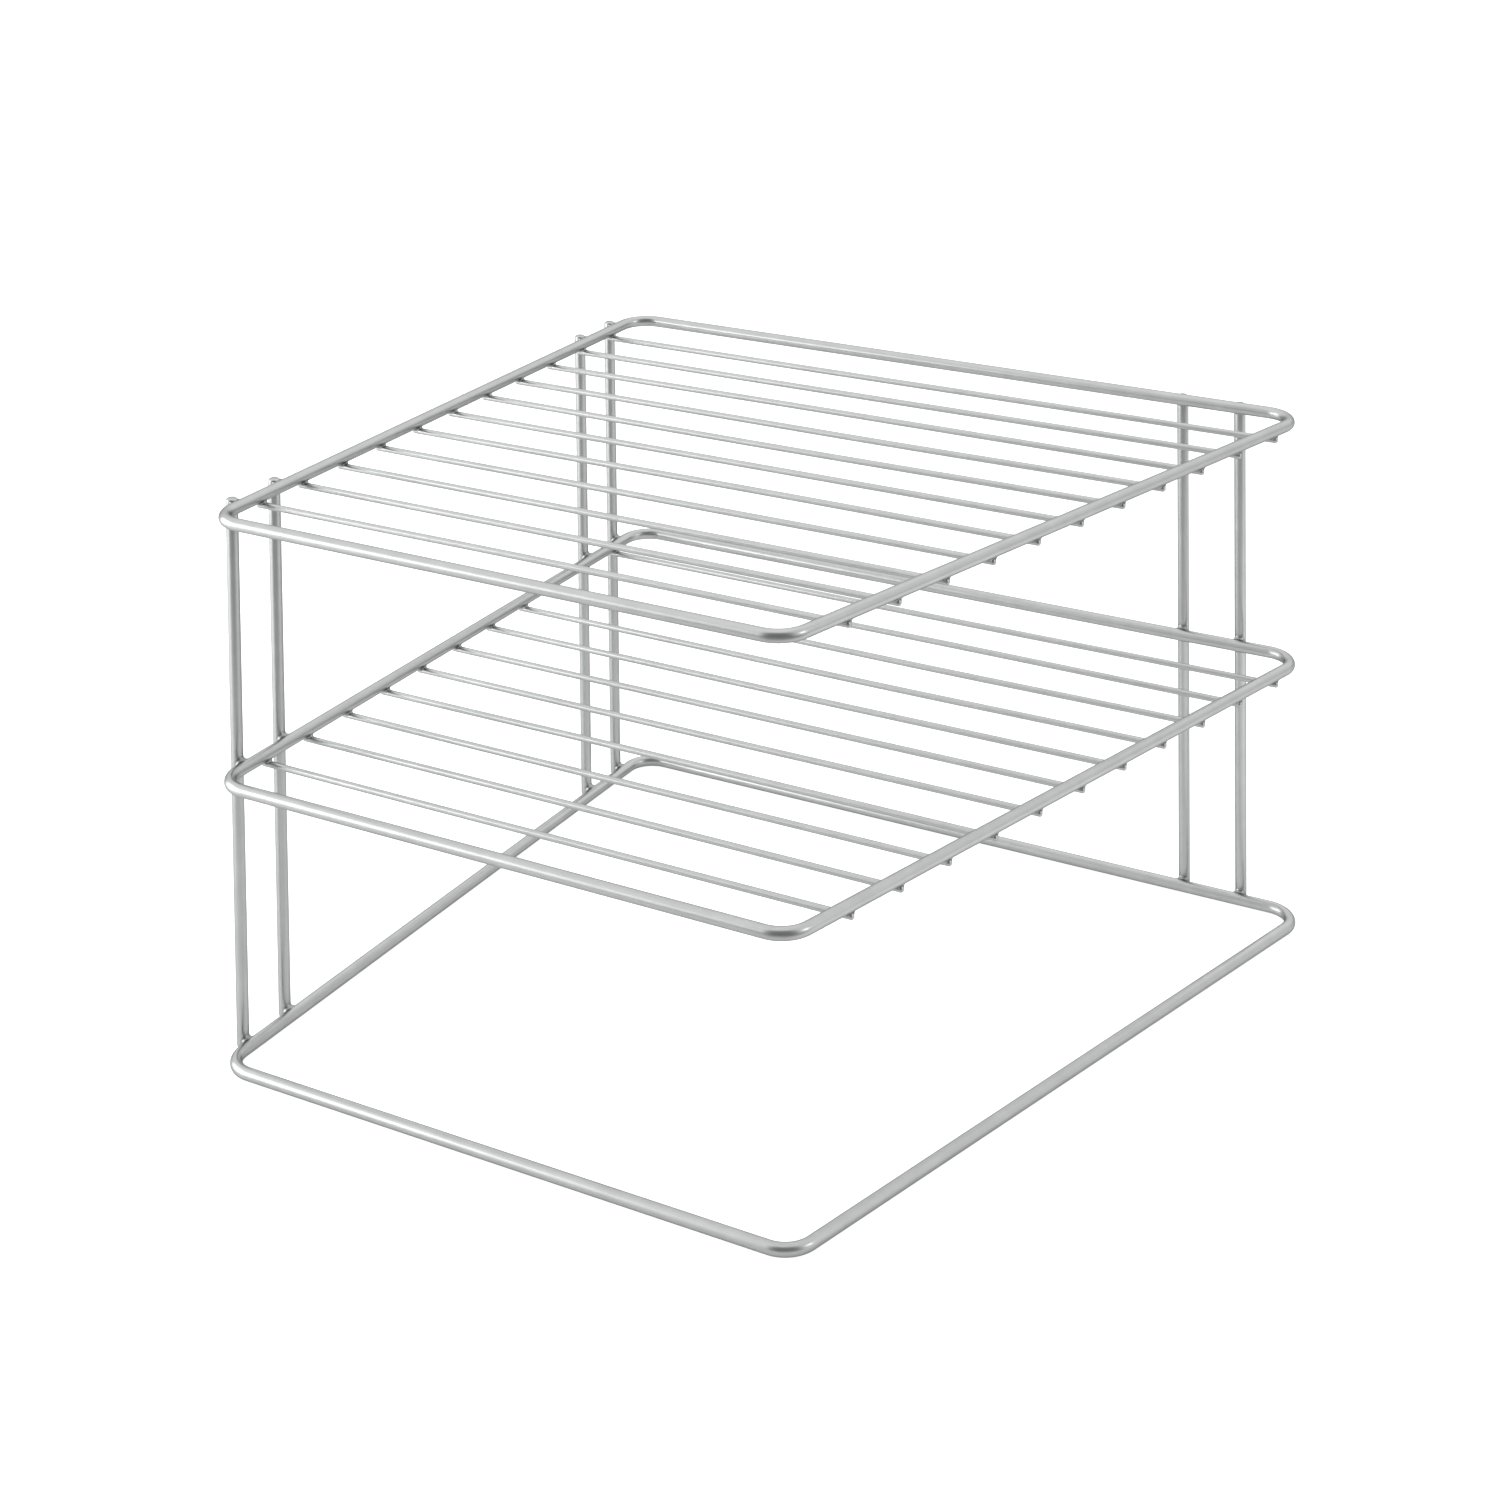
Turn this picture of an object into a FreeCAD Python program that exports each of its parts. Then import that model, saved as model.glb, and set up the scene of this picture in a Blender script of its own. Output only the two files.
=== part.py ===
import FreeCAD, Part
import math
import os

# Two-tier corner rack of welded round wire. Millimetres, +Z up, +X to the right along the
# front side, +Y towards the back. The origin is the bottom centre of the bounding box.
#
# Three rings of frame wire (base, middle shelf, top shelf) share one plan: a trapezium with
# right angles on the left side, a long back side and a right side that slants in towards
# the front. Six posts of the same wire stand in pairs on the outside of the rings, two
# pairs on the left side and one on the back side. Thin wires lie under the two upper rings,
# parallel to the front side, and make the shelves. Every crossing is welded.

# ---- Driving dimensions ----
FRAME_GAUGE = 3.8           # wire diameter of the rings and the posts
SHELF_GAUGE = 2.0           # wire diameter of the shelf wires
BACK_SIDE = 257.0           # plan lengths: between the sharp corners of the centre lines
FRONT_SIDE = 194.5
DEPTH = 241.0               # from the front side's centre line to the back side's
BEND_RADIUS = 9.5           # of the rings' centre line at every corner
MIDDLE_RISE = 86.5          # middle ring's centre line above the base ring's
TOP_RISE = 167.0            # top ring's centre line above the base ring's
LEFT_POST_TOP_RISE = 1.9    # tops of the left posts above the top ring's centre line
BACK_POST_TOP_RISE = 0.8    # tops of the back posts above the top ring's centre line
POST_FOOT = 0.3             # feet of the posts above the ground
POST_PAIR_PITCH = 20.0      # between the two posts of a pair
LEFT_POST_INSET = 13.5      # from the front and back sides to the nearest left post
BACK_POST_INSET = 23.5      # from the back right corner to the nearest back post
WIRES_PER_SHELF = 11
SHELF_PITCH = 20.0          # between neighbouring shelf wires
FIRST_WIRE_INSET = 18.0     # from the back side to the first shelf wire
WIRE_OVERHANG = 1.4         # shelf wire ends beyond the centre line of the sides they cross
SEAM_INSET = 110.75         # from the back side to the butt weld on the rings' left side
SEAM_GAP = 0.8              # length of the weld metal between a ring's two ends
SEAM_BULGE = 0.1            # how far a butt weld stands proud of the wire
POST_SET_DOWN = 0.3         # depth that welding presses a post into a ring
WIRE_SET_DOWN = 0.15        # depth that welding presses a shelf wire into a ring
POST_WELD_RADIUS = 1.0      # concave radius of the weld between a post and a ring
WIRE_WELD_RADIUS = 0.72     # concave radius of the weld between a shelf wire and a ring
END_ROUNDING = 0.7          # rounding of the cut ends of posts and shelf wires

# ---- Worked out from them ----
FRAME_R = FRAME_GAUGE / 2
SHELF_R = SHELF_GAUGE / 2
POST_OFFSET = FRAME_GAUGE - POST_SET_DOWN                # post axis to ring centre line
WIRE_DROP = FRAME_R + SHELF_R - WIRE_SET_DOWN            # shelf wire axis below ring centre
SLANT = math.atan2(BACK_SIDE - FRONT_SIDE, DEPTH)        # right side's angle from +Y
CORNER_LOSS = BEND_RADIUS * ((1 + math.sin(SLANT)) / math.cos(SLANT) - 1)
REACH_LEFT = POST_OFFSET + FRAME_R                       # left posts beyond the left side
REACH_BACK = POST_OFFSET + FRAME_R                       # back posts beyond the back side
WIDTH = REACH_LEFT + BACK_SIDE - CORNER_LOSS + FRAME_R   # whole rack, left to right
LENGTH = FRAME_R + DEPTH + REACH_BACK                    # whole rack, front to back
LEFT_X = REACH_LEFT - WIDTH / 2
FRONT_Y = FRAME_R - LENGTH / 2
BACK_Y = FRONT_Y + DEPTH
RING_HEIGHTS = {
    "base": FRAME_R,
    "middle": FRAME_R + MIDDLE_RISE,
    "top": FRAME_R + TOP_RISE,
}
POST_TOPS = {
    "left": RING_HEIGHTS["top"] + LEFT_POST_TOP_RISE,
    "back": RING_HEIGHTS["top"] + BACK_POST_TOP_RISE,
}
WELD_STUB = 16.0                                         # wire length used to shape a weld

UP = FreeCAD.Vector(0, 0, 1)
ALONG_X = FreeCAD.Vector(1, 0, 0)
ALONG_Y = FreeCAD.Vector(0, 1, 0)


def right_side_x(y):
    """X of the slanting right side's centre line at the given Y."""
    return LEFT_X + BACK_SIDE - (BACK_Y - y) * math.tan(SLANT)


def slab_above(height):
    """A slab as wide and long as the rack, to trim what lies just above a height."""
    corner = FreeCAD.Vector(-WIDTH / 2, -LENGTH / 2, height)
    return Part.makeBox(WIDTH, LENGTH, FRAME_GAUGE, corner)


def slab_below(height):
    """A slab as wide and long as the rack, to trim what lies just below a height."""
    return slab_above(height - FRAME_GAUGE)


def rounded_rod(start, direction, length, radius, rounding):
    """A straight wire with both of its cut ends rounded."""
    rod = Part.makeCylinder(radius, length, start, direction)
    rims = [edge for edge in rod.Edges if isinstance(edge.Curve, Part.Circle)]
    return rod.makeFillet(rounding, rims)


# ---- Rings ----
def bend(before, corner, after):
    """The arc that rounds one corner of a ring's centre line, and its two ends."""
    to_before = (before - corner).normalize()
    to_after = (after - corner).normalize()
    half_angle = to_before.getAngle(to_after) / 2
    tangent = BEND_RADIUS / math.tan(half_angle)
    bisector = (to_before + to_after).normalize()
    depth = BEND_RADIUS / math.sin(half_angle) - BEND_RADIUS
    start = corner + to_before * tangent
    end = corner + to_after * tangent
    arc = Part.Arc(start, corner + bisector * depth, end).toShape()
    return start, arc, end


def ring(height):
    """One ring: a bent wire whose ends nearly meet at the butt weld on the left side."""
    corners = [
        FreeCAD.Vector(LEFT_X, BACK_Y, height),
        FreeCAD.Vector(LEFT_X + BACK_SIDE, BACK_Y, height),
        FreeCAD.Vector(LEFT_X + FRONT_SIDE, FRONT_Y, height),
        FreeCAD.Vector(LEFT_X, FRONT_Y, height),
    ]
    seam = FreeCAD.Vector(LEFT_X, BACK_Y - SEAM_INSET, height)
    position = seam + ALONG_Y * (SEAM_GAP / 2)
    profile = Part.Face(Part.Wire(Part.makeCircle(FRAME_R, position, ALONG_Y)))
    edges = []
    for index, corner in enumerate(corners):
        start, arc, end = bend(corners[index - 1], corner, corners[(index + 1) % 4])
        edges += [Part.makeLine(position, start), arc]
        position = end
    edges.append(Part.makeLine(position, seam - ALONG_Y * (SEAM_GAP / 2)))
    return Part.Wire(edges).makePipe(profile)


def butt_weld(height):
    """Weld metal that closes a ring, slightly proud of the wire but flush underneath."""
    start = FreeCAD.Vector(LEFT_X, BACK_Y - SEAM_INSET - SEAM_GAP / 2, height)
    weld = rounded_rod(start, ALONG_Y, SEAM_GAP, FRAME_R + SEAM_BULGE, SEAM_BULGE)
    return weld.cut(slab_below(height - FRAME_R))


# ---- Posts ----
def post_side(name):
    """The side of the rack that a post stands on."""
    return name.split("_")[0]


def post_places():
    """Name, X and Y of each post's axis."""
    left_x = LEFT_X - POST_OFFSET
    back_y = BACK_Y + POST_OFFSET
    front_first = FRONT_Y + LEFT_POST_INSET
    back_first = BACK_Y - LEFT_POST_INSET
    right_first = LEFT_X + BACK_SIDE - BACK_POST_INSET
    return {
        "left_front_outer_post": (left_x, front_first),
        "left_front_inner_post": (left_x, front_first + POST_PAIR_PITCH),
        "left_back_inner_post": (left_x, back_first - POST_PAIR_PITCH),
        "left_back_outer_post": (left_x, back_first),
        "back_right_inner_post": (right_first - POST_PAIR_PITCH, back_y),
        "back_right_outer_post": (right_first, back_y),
    }


def post(x, y, top, rings):
    """An upright wire with a shallow saddle where each ring is pressed into it."""
    foot = FreeCAD.Vector(x, y, POST_FOOT)
    rod = rounded_rod(foot, UP, top - POST_FOOT, FRAME_R, END_ROUNDING)
    return rod.cut(rings)


# ---- Shelf wires ----
def wire_rows():
    """Y of each shelf wire, from the front to the back."""
    last = BACK_Y - FIRST_WIRE_INSET
    return [last - SHELF_PITCH * step for step in reversed(range(WIRES_PER_SHELF))]


def shelf_wire(y, height, own_ring):
    """A thin wire under a ring, from the left side to the right side."""
    start = FreeCAD.Vector(LEFT_X - WIRE_OVERHANG, y, height - WIRE_DROP)
    length = right_side_x(y) - LEFT_X + 2 * WIRE_OVERHANG
    return rounded_rod(start, ALONG_X, length, SHELF_R, END_ROUNDING).cut(own_ring)


# ---- Welds ----
def crossing_weld(crossing_radius, offset, angle, weld_radius):
    """
    The concave weld between a frame wire along +Y through the origin and a wire that
    crosses it. The crossing wire's axis is `offset` away along -Z. It points along +X,
    turned by `angle` degrees about Z.
    """
    half = WELD_STUB / 2
    frame_wire = Part.makeCylinder(FRAME_R, WELD_STUB, ALONG_Y * -half, ALONG_Y)
    start = FreeCAD.Vector(-half, 0, -offset)
    crossing = Part.makeCylinder(crossing_radius, WELD_STUB, start, ALONG_X)
    crossing.rotate(FreeCAD.Vector(0, 0, 0), UP, angle)
    both = frame_wire.fuse(crossing)
    seam_reach = FRAME_GAUGE
    seam = [edge for edge in both.Edges if edge.BoundBox.DiagonalLength < seam_reach
            and edge.BoundBox.Center.Length < seam_reach]
    return both.makeFillet(weld_radius, seam).cut(frame_wire).cut(crossing)


def post_welds(height):
    """The six welds between one ring and the posts, as a list for each side of the rack."""
    pattern = crossing_weld(FRAME_R, POST_OFFSET, 0, POST_WELD_RADIUS)
    # Stand the crossing wire up: a left post runs along +Z on the ring's -X side.
    pattern.rotate(FreeCAD.Vector(0, 0, 0), ALONG_Y, 90)
    welds = {"left": [], "back": []}
    for name, (x, y) in post_places().items():
        side = post_side(name)
        weld = pattern.copy()
        if side == "back":
            weld.rotate(FreeCAD.Vector(0, 0, 0), UP, -90)
            weld.translate(FreeCAD.Vector(x, BACK_Y, height))
        else:
            weld.translate(FreeCAD.Vector(LEFT_X, y, height))
        # A weld reaches no further than its post's foot and the rounding of its top.
        limits = [slab_below(POST_FOOT), slab_above(POST_TOPS[side] - END_ROUNDING / 2)]
        welds[side] += weld.cut(limits).Solids
    return welds


def shelf_welds(height):
    """The welds between one ring and its shelf wires, as a list for each side of the rack."""
    square = crossing_weld(SHELF_R, WIRE_DROP, 0, WIRE_WELD_RADIUS)
    slant_degrees = math.degrees(SLANT)
    slanted = crossing_weld(SHELF_R, WIRE_DROP, slant_degrees, WIRE_WELD_RADIUS)
    # Turn the frame wire onto the right side's slant, which lays the thin wire along +X.
    slanted.rotate(FreeCAD.Vector(0, 0, 0), UP, -slant_degrees)
    welds = {"left": [], "right": []}
    for y in wire_rows():
        for side, pattern, x in (("left", square, LEFT_X), ("right", slanted, right_side_x(y))):
            weld = pattern.copy()
            weld.translate(FreeCAD.Vector(x, y, height))
            welds[side] += weld.Solids
    return welds


# ---- Assembly ----
def build():
    """Every node's name and shape. A group of separate solids is one compound."""
    rings = {level: ring(height) for level, height in RING_HEIGHTS.items()}
    nodes = {level + "_ring": shape for level, shape in rings.items()}
    for name, (x, y) in post_places().items():
        nodes[name] = post(x, y, POST_TOPS[post_side(name)], list(rings.values()))
    for level, height in RING_HEIGHTS.items():
        for side, welds in post_welds(height).items():
            nodes["%s_%s_post_welds" % (level, side)] = Part.makeCompound(welds)
        if level == "base":
            continue
        for number, y in enumerate(wire_rows(), start=1):
            name = "%s_shelf_wire_%02d" % (level, number)
            nodes[name] = shelf_wire(y, height, rings[level])
        for side, welds in shelf_welds(height).items():
            nodes["%s_shelf_%s_welds" % (level, side)] = Part.makeCompound(welds)
    butt_welds = [butt_weld(height) for height in RING_HEIGHTS.values()]
    nodes["ring_butt_welds"] = Part.makeCompound(butt_welds)
    return nodes


os.makedirs("parts", exist_ok=True)
for node_name, node_shape in build().items():
    node_shape.exportStep(os.path.join("parts", node_name + ".step"))
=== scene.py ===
# Two-tier corner wire rack: smooth wires and welds, silver coating, light and camera, all
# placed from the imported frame. Metres, +Z up, +X right along the front side, +Y to the back.
import math
import random

import bmesh
import bpy
from mathutils import Matrix, Vector, noise


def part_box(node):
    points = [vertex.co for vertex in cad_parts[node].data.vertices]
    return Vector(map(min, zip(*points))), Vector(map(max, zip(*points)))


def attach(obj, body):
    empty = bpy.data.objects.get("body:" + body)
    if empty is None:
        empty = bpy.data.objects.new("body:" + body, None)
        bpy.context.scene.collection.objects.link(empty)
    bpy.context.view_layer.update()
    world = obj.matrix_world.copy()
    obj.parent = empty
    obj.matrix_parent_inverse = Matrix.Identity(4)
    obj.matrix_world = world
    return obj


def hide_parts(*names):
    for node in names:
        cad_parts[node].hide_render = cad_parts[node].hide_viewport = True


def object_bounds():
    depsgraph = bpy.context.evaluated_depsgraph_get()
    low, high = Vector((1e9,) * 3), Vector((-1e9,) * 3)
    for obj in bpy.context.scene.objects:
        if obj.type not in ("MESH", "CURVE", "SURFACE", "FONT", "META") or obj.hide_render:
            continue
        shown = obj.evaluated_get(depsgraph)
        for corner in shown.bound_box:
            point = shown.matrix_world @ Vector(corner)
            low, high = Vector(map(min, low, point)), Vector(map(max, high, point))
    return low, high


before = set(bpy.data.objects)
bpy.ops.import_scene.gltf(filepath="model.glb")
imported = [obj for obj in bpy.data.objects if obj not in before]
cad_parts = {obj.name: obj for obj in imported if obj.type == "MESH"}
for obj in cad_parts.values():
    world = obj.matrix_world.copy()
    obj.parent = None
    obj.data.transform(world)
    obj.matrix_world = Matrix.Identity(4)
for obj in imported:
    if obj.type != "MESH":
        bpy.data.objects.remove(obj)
CAD_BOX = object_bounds()

MM = 0.001
UP = Vector((0, 0, 1))
ALONG_X = Vector((1, 0, 0))
ALONG_Y = Vector((0, 1, 0))

# ---- Fineness and small irregularities of the meshes ----
FRAME_SIDES = 40            # sides of the thick wires
SHELF_SIDES = 24            # sides of the thin wires
STATION_PITCH = 6 * MM      # between cross-sections along a straight wire
BEND_STEPS = 24             # cross-sections in a ring's bend
END_STEPS = 7               # cross-sections in a rounded wire end
WELD_STEPS = 72             # round a weld
WELD_PROFILE_STEPS = 10     # across a weld's concave face
COAT_RIPPLE = 0.012 * MM    # how far the coating's thickness wanders
RIPPLE_LENGTH = 9 * MM
SHELF_WIRE_BOW = 0.22 * MM  # largest sideways wander of a thin wire between its ends
SHELF_WIRE_SKEW = 0.5       # how lopsided that wander may be
POST_END_DEPTH = 1.0 * MM   # over which a post's end rounds off
SHELF_END_DEPTH = 0.8       # the same for a thin wire, in its radii
POST_WELD_RADIUS = 1.05 * MM
SHELF_WELD_RADIUS = 0.72 * MM
WELD_WANDER = 0.13          # share by which a weld's radius varies round it
WELD_CORE = 0.6             # the hidden core of a weld, as a share of where the wires touch
POST_WELD_STOP = 0.7        # welds end this share of POST_END_DEPTH below the posts' tops
SHELF_WELD_STOP = 0.5       # and this share of a thin wire's radius short of its ends
SEED = 7

# A butt weld's bead. Each pair is the place along the weld, in half lengths, and how far the
# bead stands proud of the wire there, as a share of the weld's own bulge.
BEAD_PROFILE = (
    (-2.4, -0.2), (-1.9, 0.03), (-1.4, 0.12), (-1.0, 0.04), (-0.6, 0.2), (-0.25, 0.62),
    (0.1, 0.66), (0.45, 0.3), (0.9, 0.05), (1.4, 0.14), (1.9, 0.04), (2.4, -0.2),
)
BEAD_HEIGHT = {"base": 0.45, "middle": 0.5, "top": 1.0}


# ---- Dimensions of the rack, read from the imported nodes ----
def centre(node):
    low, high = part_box(node)
    return (low + high) / 2


ring_low, ring_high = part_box("base_ring")
FRAME_R = (ring_high.z - ring_low.z) / 2
LEFT_X = ring_low.x + FRAME_R
FRONT_Y = ring_low.y + FRAME_R
BACK_Y = ring_high.y - FRAME_R

front_low, front_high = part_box("top_shelf_wire_01")
back_low, back_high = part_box("top_shelf_wire_11")
SHELF_R = (front_high.z - front_low.z) / 2
OVERHANG = LEFT_X - front_low.x
SLANT = math.atan2(back_high.x - front_high.x, back_high.y - front_high.y)
FIRST_WIRE_Y = centre("top_shelf_wire_01").y


def right_side_x(y):
    """X of the slanting right side's centre line."""
    return front_high.x - OVERHANG + (y - FIRST_WIRE_Y) * math.tan(SLANT)


def bend_radius():
    """The bends' radius, from how far the back right bend falls short of its sharp corner."""
    loss = right_side_x(BACK_Y) + FRAME_R - ring_high.x
    return loss / ((1 + math.sin(SLANT)) / math.cos(SLANT) - 1)


BEND_RADIUS = bend_radius()
LEVELS = ("base", "middle", "top")
SHELF_LEVELS = ("middle", "top")
RING_Z = {level: centre(level + "_ring").z for level in LEVELS}
POSTS = sorted(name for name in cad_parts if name.endswith("_post"))
SHELF_WIRES = {
    level: sorted(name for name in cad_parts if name.startswith(level + "_shelf_wire_"))
    for level in SHELF_LEVELS
}


# ---- Mesh helpers ----
def finish_piece(bm, name, material, nodes):
    """Turns a bmesh into a piece that stands for CAD nodes and rides on the rack's body."""
    bmesh.ops.recalc_face_normals(bm, faces=bm.faces)
    for face in bm.faces:
        face.smooth = True
    mesh = bpy.data.meshes.new(name)
    bm.to_mesh(mesh)
    bm.free()
    mesh.materials.append(material)
    piece = bpy.data.objects.new(name, mesh)
    bpy.context.scene.collection.objects.link(piece)
    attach(piece, "root")
    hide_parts(*nodes)
    return piece


def rippled(point, middle):
    """A surface point moved in towards the wire's middle by the coating's ripple."""
    wander = (noise.noise(point / RIPPLE_LENGTH) + 1) / 2
    inward = (middle - point).normalized()
    return point + inward * (COAT_RIPPLE * wander)


def add_tube(bm, stations, sides, across, sharp_ends=False):
    """
    A closed tube through stations of (middle, tangent, radius). `across` is a direction that
    no tangent is parallel to. The ends close on a single vertex each.
    """
    rings = []
    for middle, tangent, radius in stations:
        side = tangent.cross(across).normalized()
        lift = side.cross(tangent).normalized()
        ring = []
        for step in range(sides):
            turn = 2 * math.pi * step / sides
            offset = side * math.cos(turn) + lift * math.sin(turn)
            ring.append(bm.verts.new(rippled(middle + offset * radius, middle)))
        rings.append(ring)
    for ring, following in zip(rings, rings[1:]):
        for step in range(sides):
            after = (step + 1) % sides
            bm.faces.new((ring[step], ring[after], following[after], following[step]))
    for ring, station in ((rings[0], stations[0]), (rings[-1], stations[-1])):
        tip = bm.verts.new(station[0])
        for step in range(sides):
            after = (step + 1) % sides
            bm.faces.new((ring[step], ring[after], tip))
            bm.edges.get((ring[step], ring[after])).smooth = not sharp_ends


def end_stations(tip, outward, radius, depth):
    """Cross-sections of a rounded end, from its full radius out to near its tip."""
    stations = []
    for step in range(END_STEPS):
        turn = (math.pi / 2) * step / END_STEPS
        back_off = depth * (1 - math.sin(turn))
        narrow = radius * math.cos(turn) ** 0.5
        stations.append((tip - outward * back_off, narrow))
    return stations


def rod_stations(start, end, radius, end_depth, bow=None):
    """Cross-sections of a straight wire with rounded ends. `bow` shifts a point by its share."""
    along = (end - start).normalized()
    length = (end - start).length
    first = list(reversed(end_stations(start, -along, radius, end_depth)))
    last = end_stations(end, along, radius, end_depth)
    count = max(2, round((length - 2 * end_depth) / STATION_PITCH))
    inner = []
    for step in range(1, count):
        distance = end_depth + (length - 2 * end_depth) * step / count
        inner.append((start + along * distance, radius))
    stations = []
    for middle, size in first + inner + last:
        share = (middle - start).dot(along) / length
        shift = bow(share) if bow else Vector((0, 0, 0))
        stations.append((middle + shift, along, size))
    return stations


# ---- Rings ----
def ring_corners(z):
    return [
        Vector((LEFT_X, BACK_Y, z)),
        Vector((right_side_x(BACK_Y), BACK_Y, z)),
        Vector((right_side_x(FRONT_Y), FRONT_Y, z)),
        Vector((LEFT_X, FRONT_Y, z)),
    ]


def straight_run(start, end):
    """Points and tangents along a straight side, without its last point."""
    along = (end - start).normalized()
    count = max(1, round((end - start).length / STATION_PITCH))
    return [(start.lerp(end, step / count), along) for step in range(count)]


def bend_run(before, corner, after):
    """Points and tangents round one bend, and the bend's first and last points."""
    arriving = (corner - before).normalized()
    leaving = (after - corner).normalized()
    turn = arriving.angle(leaving)
    tangent_length = BEND_RADIUS * math.tan(turn / 2)
    start = corner - arriving * tangent_length
    inward = arriving.cross(UP) if arriving.cross(leaving).z < 0 else UP.cross(arriving)
    middle = start + inward * BEND_RADIUS
    run = []
    for step in range(BEND_STEPS):
        angle = turn * step / BEND_STEPS
        point = middle - inward * (BEND_RADIUS * math.cos(angle))
        point += arriving * (BEND_RADIUS * math.sin(angle))
        tangent = arriving * math.cos(angle) + inward * math.sin(angle)
        run.append((point, tangent))
    return start, run, corner + leaving * tangent_length


def seam_span():
    """Y of the front and the back of the butt welds, on the rings' left side."""
    low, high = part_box("ring_butt_welds")
    return low.y, high.y


def build_ring(level, material):
    z = RING_Z[level]
    seam_front, seam_back = seam_span()
    corners = ring_corners(z)
    position = Vector((LEFT_X, seam_back, z))
    run = []
    for index, corner in enumerate(corners):
        start, bend, end = bend_run(corners[index - 1], corner, corners[(index + 1) % 4])
        run += straight_run(position, start) + bend
        position = end
    seam = Vector((LEFT_X, seam_front, z))
    run += straight_run(position, seam)
    run.append((seam, ALONG_Y))
    bm = bmesh.new()
    stations = [(point, tangent, FRAME_R) for point, tangent in run]
    add_tube(bm, stations, FRAME_SIDES, UP, sharp_ends=True)
    node = level + "_ring"
    finish_piece(bm, node + "_wire", material, [node])


def build_butt_welds(material):
    """A low bead closes every ring. It is flatter on the two lower rings."""
    seam_front, seam_back = seam_span()
    low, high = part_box("ring_butt_welds")
    bulge = (high.x - low.x) / 2 - FRAME_R
    half = (seam_back - seam_front) / 2
    bm = bmesh.new()
    for level in LEVELS:
        middle = Vector((LEFT_X, (seam_front + seam_back) / 2, RING_Z[level]))
        height = bulge * BEAD_HEIGHT[level]
        stations = [
            (middle + ALONG_Y * (half * place), ALONG_Y, FRAME_R + height * rise)
            for place, rise in BEAD_PROFILE
        ]
        add_tube(bm, stations, FRAME_SIDES, UP)
    floor_z = CAD_BOX[0].z
    for vert in bm.verts:
        vert.co.z = max(vert.co.z, floor_z)
    finish_piece(bm, "ring_butt_weld_beads", material, ["ring_butt_welds"])


# ---- Posts and shelf wires ----
def build_post(node, material):
    low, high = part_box(node)
    middle = (low + high) / 2
    foot = Vector((middle.x, middle.y, low.z))
    top = Vector((middle.x, middle.y, high.z))
    bm = bmesh.new()
    stations = rod_stations(foot, top, FRAME_R, POST_END_DEPTH)
    add_tube(bm, stations, FRAME_SIDES, ALONG_Y)
    finish_piece(bm, node + "_wire", material, [node])


def build_shelf_wire(node, material, rng):
    low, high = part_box(node)
    middle = (low + high) / 2
    start = Vector((low.x, middle.y, middle.z))
    end = Vector((high.x, middle.y, middle.z))
    sag = rng.uniform(-1, 1) * SHELF_WIRE_BOW
    sway = rng.uniform(-1, 1) * SHELF_WIRE_BOW
    skew = rng.uniform(-SHELF_WIRE_SKEW, SHELF_WIRE_SKEW)

    def bow(share):
        swell = math.sin(math.pi * share) ** 2
        twist = 1 + skew * math.sin(2 * math.pi * share)
        return Vector((0, sway * swell * twist, sag * swell * twist))

    bm = bmesh.new()
    stations = rod_stations(start, end, SHELF_R, SHELF_R * SHELF_END_DEPTH, bow)
    add_tube(bm, stations, SHELF_SIDES, UP)
    finish_piece(bm, node + "_rod", material, [node])


# ---- Welds ----
def add_crossing_weld(bm, at, frame_axis, cross_axis, toward, cross_r, offset, radius, rng):
    """
    The concave web between a frame wire and a wire that crosses it: the surface a ball leaves
    as it rolls round the crossing and touches both wires. `at` is on the frame wire's axis,
    and `toward` points from there to the crossing wire's axis, `offset` away.
    """
    frame_side = toward.cross(frame_axis)
    cross_side = toward.cross(cross_axis)
    waves = [(order, rng.uniform(0, 2 * math.pi), rng.uniform(0.3, 1)) for order in (1, 2, 3)]
    overlap = (FRAME_R + cross_r - offset) / 2
    core = at + toward * (FRAME_R - overlap)
    core_reach = math.sqrt(2 * cross_r * overlap - overlap ** 2) * WELD_CORE
    loops = []
    for step in range(WELD_STEPS):
        turn = 2 * math.pi * step / WELD_STEPS
        wander = sum(size * math.cos(order * turn + start) for order, start, size in waves)
        ball = radius * (1 + WELD_WANDER * wander / 2)
        frame_reach = FRAME_R + ball
        cross_reach = cross_r + ball
        lowest = offset - cross_reach
        rise = lowest + (frame_reach - lowest) * math.cos(turn) ** 2
        past_frame = math.sqrt(max(0.0, frame_reach ** 2 - rise ** 2))
        past_cross = math.sqrt(max(0.0, cross_reach ** 2 - (rise - offset) ** 2))
        past_frame = math.copysign(past_frame, math.sin(turn))
        past_cross = math.copysign(past_cross, math.cos(turn))
        run = past_cross - past_frame * frame_side.dot(cross_side)
        run /= frame_axis.dot(cross_side)
        flat = frame_axis * run + frame_side * past_frame
        ball_at = at + flat + toward * rise
        on_frame_axis = at + frame_axis * flat.dot(frame_axis)
        on_cross_axis = at + toward * offset + cross_axis * flat.dot(cross_axis)
        to_frame = (on_frame_axis - ball_at).normalized()
        to_cross = (on_cross_axis - ball_at).normalized()
        loop = []
        for part in range(WELD_PROFILE_STEPS + 1):
            direction = to_frame.slerp(to_cross, part / WELD_PROFILE_STEPS)
            loop.append(bm.verts.new(ball_at + direction * ball))
        loop.append(bm.verts.new(core + flat.normalized() * core_reach))
        loops.append(loop)
    join_loops(bm, loops)


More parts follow.
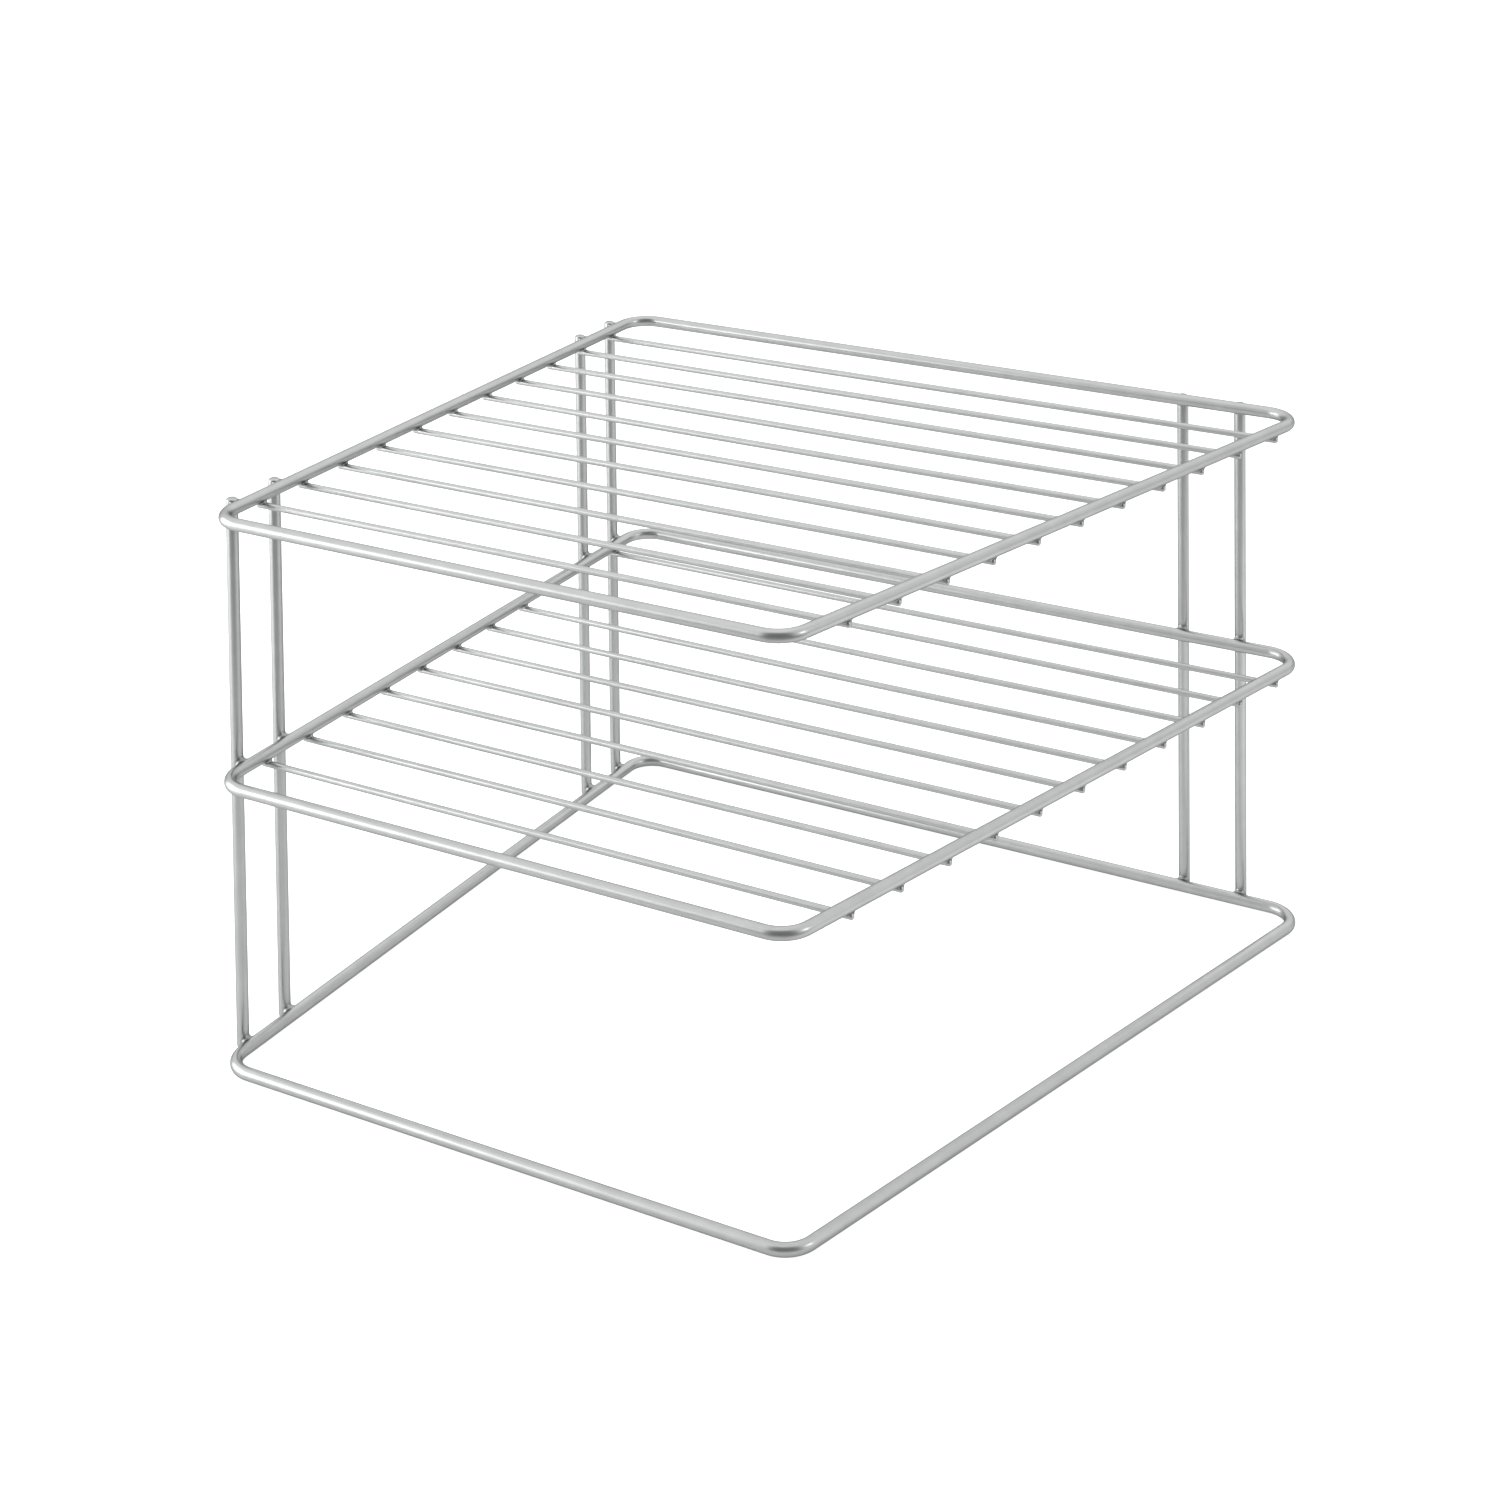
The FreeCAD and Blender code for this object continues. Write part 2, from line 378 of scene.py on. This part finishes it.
def join_loops(bm, loops):
    """Closes a ring of loops into one skin. The two seams where the web meets wire are sharp."""
    size = len(loops[0])
    for index, loop in enumerate(loops):
        following = loops[(index + 1) % len(loops)]
        for part in range(size):
            after = (part + 1) % size
            bm.faces.new((loop[part], loop[after], following[after], following[part]))
        for part in (0, size - 2):
            bm.edges.get((loop[part], following[part])).smooth = False


def build_post_welds(level, side, material, rng):
    """The webs between one ring and the posts of one side. None reaches past a post's ends."""
    posts = [node for node in POSTS if node.startswith(side)]
    z = RING_Z[level]
    foot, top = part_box(posts[0])
    bm = bmesh.new()
    for node in posts:
        middle = centre(node)
        if side == "back":
            at = Vector((middle.x, BACK_Y, z))
            axis = ALONG_X
            toward = ALONG_Y
            offset = middle.y - BACK_Y
        else:
            at = Vector((LEFT_X, middle.y, z))
            axis = ALONG_Y
            toward = -ALONG_X
            offset = LEFT_X - middle.x
        add_crossing_weld(bm, at, axis, UP, toward, FRAME_R, offset, POST_WELD_RADIUS, rng)
    for vert in bm.verts:
        vert.co.z = min(max(vert.co.z, foot.z), top.z - POST_END_DEPTH * POST_WELD_STOP)
    node = "%s_%s_post_welds" % (level, side)
    finish_piece(bm, node + "_webs", material, [node])


def build_shelf_welds(level, side, material, rng):
    """The webs at one end of a shelf's thin wires. None reaches past the wires' cut ends."""
    z = RING_Z[level]
    slanted = Vector((math.sin(SLANT), math.cos(SLANT), 0))
    bm = bmesh.new()
    for node in SHELF_WIRES[level]:
        middle = centre(node)
        if side == "left":
            at = Vector((LEFT_X, middle.y, z))
            axis = ALONG_Y
        else:
            at = Vector((right_side_x(middle.y), middle.y, z))
            axis = slanted
        offset = z - middle.z
        radius = SHELF_WELD_RADIUS
        add_crossing_weld(bm, at, axis, ALONG_X, -UP, SHELF_R, offset, radius, rng)
    reach = OVERHANG - SHELF_R * SHELF_WELD_STOP
    for vert in bm.verts:
        left_limit = LEFT_X - reach
        right_limit = right_side_x(vert.co.y) + reach
        vert.co.x = min(max(vert.co.x, left_limit), right_limit)
    node = "%s_shelf_%s_welds" % (level, side)
    finish_piece(bm, node + "_webs", material, [node])


# ---- Coating ----
EDGE_TINT = (0.5, 0.5, 0.5, 1)      # share of its grazing shine that the pigment keeps
GLOSS_SCALE = 420           # patches of smoother and rougher coating, per metre
PEEL_SCALE = 900            # orange peel, per metre
PEEL_STRENGTH = 0.08
PEEL_DEPTH = 0.1 * MM
# Each coating: darkest and lightest pigment, smoothest and roughest finish, mottling per metre.
# The weld coatings are darker than the wire's, as painted shade where the wires cross, darkest
# over the small shelf welds. Their gloss also varies more.
WIRE_COATING = ((0.475, 0.487, 0.483), (0.515, 0.527, 0.523), 0.28, 0.34, 160)
POST_WELD_SHADED_COATING = ((0.3, 0.31, 0.307), (0.45, 0.46, 0.457), 0.3, 0.42, 160)
SHELF_WELD_SHADED_COATING = ((0.1, 0.105, 0.103), (0.5, 0.51, 0.507), 0.24, 0.4, 620)


def new_material(name):
    material = bpy.data.materials.new(name)
    material.use_nodes = True
    tree = material.node_tree
    return material, tree, tree.nodes["Principled BSDF"]


def add_noise(tree, scale, detail, roughness=0.5):
    node = tree.nodes.new("ShaderNodeTexNoise")
    node.inputs["Scale"].default_value = scale
    node.inputs["Detail"].default_value = detail
    node.inputs["Roughness"].default_value = roughness
    place = tree.nodes.new("ShaderNodeTexCoord")
    tree.links.new(place.outputs["Object"], node.inputs["Vector"])
    return node.outputs["Fac"]


def add_ramp(tree, source, stops):
    """A colour ramp from (place, colour) stops."""
    node = tree.nodes.new("ShaderNodeValToRGB")
    while len(node.color_ramp.elements) < len(stops):
        node.color_ramp.elements.new(0.5)
    for element, (place, colour) in zip(node.color_ramp.elements, stops):
        element.position = place
        element.color = (*colour, 1)
    tree.links.new(source, node.inputs["Fac"])
    return node.outputs["Color"]


def add_range(tree, source, low, high):
    """Maps 0..1 to low..high."""
    node = tree.nodes.new("ShaderNodeMapRange")
    node.inputs["To Min"].default_value = low
    node.inputs["To Max"].default_value = high
    tree.links.new(source, node.inputs["Value"])
    return node.outputs["Result"]


def silver_coating(name, dark, light, smooth, rough, mottling):
    """Satin silver coating: a mottled metallic pigment with uneven gloss and orange peel."""
    material, tree, surface = new_material(name)
    mottle = add_noise(tree, mottling, 4)
    colour = add_ramp(tree, mottle, ((0.3, dark), (0.7, light)))
    tree.links.new(colour, surface.inputs["Base Color"])
    surface.inputs["Metallic"].default_value = 1.0
    surface.inputs["Specular Tint"].default_value = EDGE_TINT
    roughness = add_range(tree, add_noise(tree, GLOSS_SCALE, 3), smooth, rough)
    tree.links.new(roughness, surface.inputs["Roughness"])
    peel = add_noise(tree, PEEL_SCALE, 2)
    bump = tree.nodes.new("ShaderNodeBump")
    bump.inputs["Strength"].default_value = PEEL_STRENGTH
    bump.inputs["Distance"].default_value = PEEL_DEPTH
    tree.links.new(peel, bump.inputs["Height"])
    tree.links.new(bump.outputs["Normal"], surface.inputs["Normal"])
    return material


# ---- Stage, light and camera ----
FLOOR_HALF_SIZE = 6
FLOOR_ALBEDO = 0.45
FLOOR_SHADED_ALBEDO_FRONT = 0.3    # painted shade: the floor's colour is darker far in front of the rack
FLOOR_PAINTED_GLOW = (0.33, 0.08)   # radiance of the floor's painted glow under the rack and behind it, painted light for how the floor is lit
FLOOR_PAINTED_GLOW_RIGHT = 0.45     # added to the right of the rack
FLOOR_PAINTED_GLOW_LEFT = 0.05      # added to the left of the rack
FLOOR_LIFT = 0.9            # radiance that the camera itself sees
# Where each change of the floor starts and ends, in metres
BACK_SPAN = (0.12, 0.3)     # along Y
RIGHT_SPAN = (0.04, 0.3)    # along X
LEFT_SPAN = (-0.15, -0.4)   # along X
FRONT_SPAN = (0.1, 0.45)    # along TO_CAMERA
TO_CAMERA = (0.57, -0.82)   # X and Y of the direction towards the camera

CEILING = 1.25              # radiance of the bright studio walls and ceiling
BACK_BAND = 0.6             # radiance low down behind the rack
RIGHT_WALL = 1.0            # radiance of the wall on the right
CAMERA_SIDE = 0.25          # radiance of the dark room behind the camera
# Where these lie: middle, half width and softness in degrees, first across and then up.
# Across is measured from -Y for the camera's side and the right wall, and from +Y for the band.
CAMERA_SIDE_SPAN = ((27, 47, 14), (20, 48, 14))
RIGHT_WALL_SPAN = ((110, 38, 20), (40, 36, 14))
BACK_BAND_SPAN = ((-20, 78, 14), (0, 12, 8))

# Each lamp: place, direction, size and radiance
LEFT_PANEL = ((-0.7, -0.488, 0.28), (0.918, 0.391, 0), (0.92, 0.52), 2.05)
TABLE_LIGHT = ((-0.735, -0.405, 0.28), (0.918, 0.391, 0), (1.1, 0.62), 3.7)
RIGHT_BOX = ((1.42, 0.1, 0.74), (-1.35, -0.22, -0.62), (0.2, 0.36), 6.2)

CAMERA_AT = (0.413255, -0.748432, 0.455909)
CAMERA_TURN = 29.4          # degrees from +Y towards -X
CAMERA_TILT = -2.937        # degrees above the level
CAMERA_ROLL = -0.648        # degrees
CAMERA_SENSOR = 36          # millimetres
CAMERA_LENS = 66.456        # millimetres
CAMERA_SHIFT = (0.0025, -0.70723)
SHIFTED_MODE = "XYZ"        # the camera's rotation mode in the main view, number 1


def add_math(tree, operation, *values):
    """A math node whose inputs are sockets or plain numbers."""
    node = tree.nodes.new("ShaderNodeMath")
    node.operation = operation
    for socket, value in zip(node.inputs, values):
        if isinstance(value, (int, float)):
            socket.default_value = value
        else:
            tree.links.new(value, socket)
    return node.outputs["Value"]


def add_window(tree, angle, middle, half, soft):
    """1 where `angle` is within `half` of `middle`, falling to 0 over `soft` each way. Degrees."""
    away = add_math(tree, "ABSOLUTE", add_math(tree, "SUBTRACT", angle, math.radians(middle)))
    node = tree.nodes.new("ShaderNodeMapRange")
    node.interpolation_type = "SMOOTHSTEP"
    node.inputs["From Min"].default_value = math.radians(half + soft)
    node.inputs["From Max"].default_value = math.radians(half - soft)
    tree.links.new(away, node.inputs["Value"])
    return node.outputs["Result"]


def add_slope(tree, value, start, end, low, high):
    """low up to `start`, then a smooth ramp to high at `end`."""
    node = tree.nodes.new("ShaderNodeMapRange")
    node.interpolation_type = "SMOOTHSTEP"
    node.inputs["From Min"].default_value = start
    node.inputs["From Max"].default_value = end
    node.inputs["To Min"].default_value = low
    node.inputs["To Max"].default_value = high
    tree.links.new(value, node.inputs["Value"])
    return node.outputs["Result"]


def add_mix(tree, share, first, second):
    """first where share is 0 and second where it is 1."""
    node = tree.nodes.new("ShaderNodeMix")
    node.data_type = "FLOAT"
    for socket, value in zip(node.inputs[:4], (share, None, first, second)):
        if value is None:
            continue
        if isinstance(value, (int, float)):
            socket.default_value = value
        else:
            tree.links.new(value, socket)
    return node.outputs[0]


def add_region(tree, across, up, span):
    """1 inside a span of directions that lie `across` and `up`, and 0 outside."""
    return add_math(
        tree, "MULTIPLY", add_window(tree, across, *span[0]), add_window(tree, up, *span[1])
    )


def build_world():
    """
    White for the camera. For light and reflections: a bright ceiling and walls, dimmer on the
    right and low down at the back, and a dark room behind the camera.
    """
    world = bpy.data.worlds.new("studio")
    world.use_nodes = True
    bpy.context.scene.world = world
    tree = world.node_tree
    background = tree.nodes["Background"]
    background.inputs["Color"].default_value = (1, 1, 1, 1)
    place = tree.nodes.new("ShaderNodeTexCoord")
    parts = tree.nodes.new("ShaderNodeSeparateXYZ")
    tree.links.new(place.outputs["Generated"], parts.inputs["Vector"])
    front = add_math(tree, "MULTIPLY", parts.outputs["Y"], -1)
    azimuth = add_math(tree, "ARCTAN2", parts.outputs["X"], front)
    elevation = add_math(tree, "ARCSINE", parts.outputs["Z"])
    dark = add_region(tree, azimuth, elevation, CAMERA_SIDE_SPAN)
    away = add_math(tree, "ARCTAN2", parts.outputs["X"], parts.outputs["Y"])
    band = add_region(tree, away, elevation, BACK_BAND_SPAN)
    right = add_region(tree, azimuth, elevation, RIGHT_WALL_SPAN)
    radiance = add_mix(tree, right, CEILING, RIGHT_WALL)
    radiance = add_mix(tree, band, radiance, BACK_BAND)
    radiance = add_mix(tree, dark, radiance, CAMERA_SIDE)
    rays = tree.nodes.new("ShaderNodeLightPath")
    radiance = add_mix(tree, rays.outputs["Is Camera Ray"], radiance, 1.0)
    tree.links.new(radiance, background.inputs["Strength"])


def build_floor():
    bm = bmesh.new()
    bmesh.ops.create_grid(bm, x_segments=8, y_segments=8, size=FLOOR_HALF_SIZE)
    mesh = bpy.data.meshes.new("studio_floor")
    bm.to_mesh(mesh)
    bm.free()
    floor = bpy.data.objects.new("studio_floor", mesh)
    floor.location.z = CAD_BOX[0].z
    bpy.context.scene.collection.objects.link(floor)
    mesh.materials.append(floor_material())


def floor_material():
    """
    A white floor that is no lamp. For the wires that reflect it, it glows as painted light, most
    on the right, less behind the rack and not at all near the camera, where its colour is also
    darker as painted shade. The camera itself sees it plain white.
    """
    material, tree, surface = new_material("pale_floor")
    place = tree.nodes.new("ShaderNodeTexCoord")
    parts = tree.nodes.new("ShaderNodeSeparateXYZ")
    tree.links.new(place.outputs["Object"], parts.inputs["Vector"])
    x, y = parts.outputs["X"], parts.outputs["Y"]
    to_camera = add_math(tree, "MULTIPLY", x, TO_CAMERA[0])
    to_camera = add_math(tree, "MULTIPLY_ADD", y, TO_CAMERA[1], to_camera)
    near_camera = add_slope(tree, to_camera, *FRONT_SPAN, 0, 1)
    # painted light: for reflected rays the floor glows to stand in for how brightly it is lit
    glow = add_slope(tree, y, *BACK_SPAN, *FLOOR_PAINTED_GLOW)
    glow = add_math(tree, "ADD", glow, add_slope(tree, x, *RIGHT_SPAN, 0, FLOOR_PAINTED_GLOW_RIGHT))
    glow = add_math(tree, "ADD", glow, add_slope(tree, x, *LEFT_SPAN, 0, FLOOR_PAINTED_GLOW_LEFT))
    glow = add_mix(tree, near_camera, glow, 0.0)
    albedo = add_mix(tree, near_camera, FLOOR_ALBEDO, FLOOR_SHADED_ALBEDO_FRONT)
    rays = tree.nodes.new("ShaderNodeLightPath")
    glow = add_mix(tree, rays.outputs["Is Camera Ray"], glow, FLOOR_LIFT)
    tree.links.new(albedo, surface.inputs["Base Color"])
    surface.inputs["Roughness"].default_value = 0.5
    surface.inputs["Emission Color"].default_value = (1, 1, 1, 1)
    tree.links.new(glow, surface.inputs["Emission Strength"])
    return material


def add_softbox(name, at, facing, size, radiance):
    """A rectangular lamp of even radiance that the camera doesn't see."""
    data = bpy.data.lights.new(name, "AREA")
    data.shape = "RECTANGLE"
    data.size, data.size_y = size
    data.energy = radiance * size[0] * size[1] * math.pi
    lamp = bpy.data.objects.new(name, data)
    lamp.location = at
    lamp.rotation_euler = Vector(facing).to_track_quat("-Z", "Y").to_euler()
    bpy.context.scene.collection.objects.link(lamp)
    lamp.visible_camera = False
    return lamp


def drive_shift(camera, path, amount):
    """
    A lens shift that applies only in the main view.
    """
    curve = camera.data.driver_add(path)
    curve.driver.type = "SUM"
    variable = curve.driver.variables.new()
    variable.name = "mode"
    variable.type = "SINGLE_PROP"
    variable.targets[0].id = camera
    variable.targets[0].data_path = "rotation_mode"
    slope = curve.modifiers[0] if curve.modifiers else curve.modifiers.new("GENERATOR")
    slope.mode = "POLYNOMIAL"
    slope.poly_order = 1
    slope.coefficients = (0, amount)


def build_camera():
    turn = Matrix.Rotation(math.radians(CAMERA_TURN), 4, "Z")
    tilt = Matrix.Rotation(math.radians(90 + CAMERA_TILT), 4, "X")
    roll = Matrix.Rotation(math.radians(CAMERA_ROLL), 4, "Z")
    data = bpy.data.cameras.new("photo_camera")
    camera = bpy.data.objects.new("photo_camera", data)
    camera.location = CAMERA_AT
    camera.rotation_mode = SHIFTED_MODE
    camera.rotation_euler = (turn @ tilt @ roll).to_euler(SHIFTED_MODE)
    data.sensor_width = CAMERA_SENSOR
    data.lens = CAMERA_LENS
    bpy.context.scene.collection.objects.link(camera)
    bpy.context.scene.camera = camera
    drive_shift(camera, "shift_x", CAMERA_SHIFT[0])
    drive_shift(camera, "shift_y", CAMERA_SHIFT[1])


def build_all():
    rng = random.Random(SEED)
    coating = silver_coating("silver_coating", *WIRE_COATING)
    # The two weld materials are darker than the wires': painted shade where the wires cross.
    shaded_web_coating = silver_coating("weld_coating", *POST_WELD_SHADED_COATING)
    shaded_spot_coating = silver_coating("spot_weld_painted_shade", *SHELF_WELD_SHADED_COATING)
    for level in LEVELS:
        build_ring(level, coating)
        for side in ("left", "back"):
            build_post_welds(level, side, shaded_web_coating, rng)
    for level in SHELF_LEVELS:
        for node in SHELF_WIRES[level]:
            build_shelf_wire(node, coating, rng)
        for side in ("left", "right"):
            build_shelf_welds(level, side, shaded_spot_coating, rng)
    for node in POSTS:
        build_post(node, coating)
    build_butt_welds(coating)
    build_floor()
    build_world()
    add_softbox("left_panel", *LEFT_PANEL)
    table_light = add_softbox("table_light", *TABLE_LIGHT)
    table_light.visible_glossy = False
    add_softbox("right_box", *RIGHT_BOX)
    build_camera()
    bpy.context.scene.view_settings.view_transform = "Standard"


build_all()
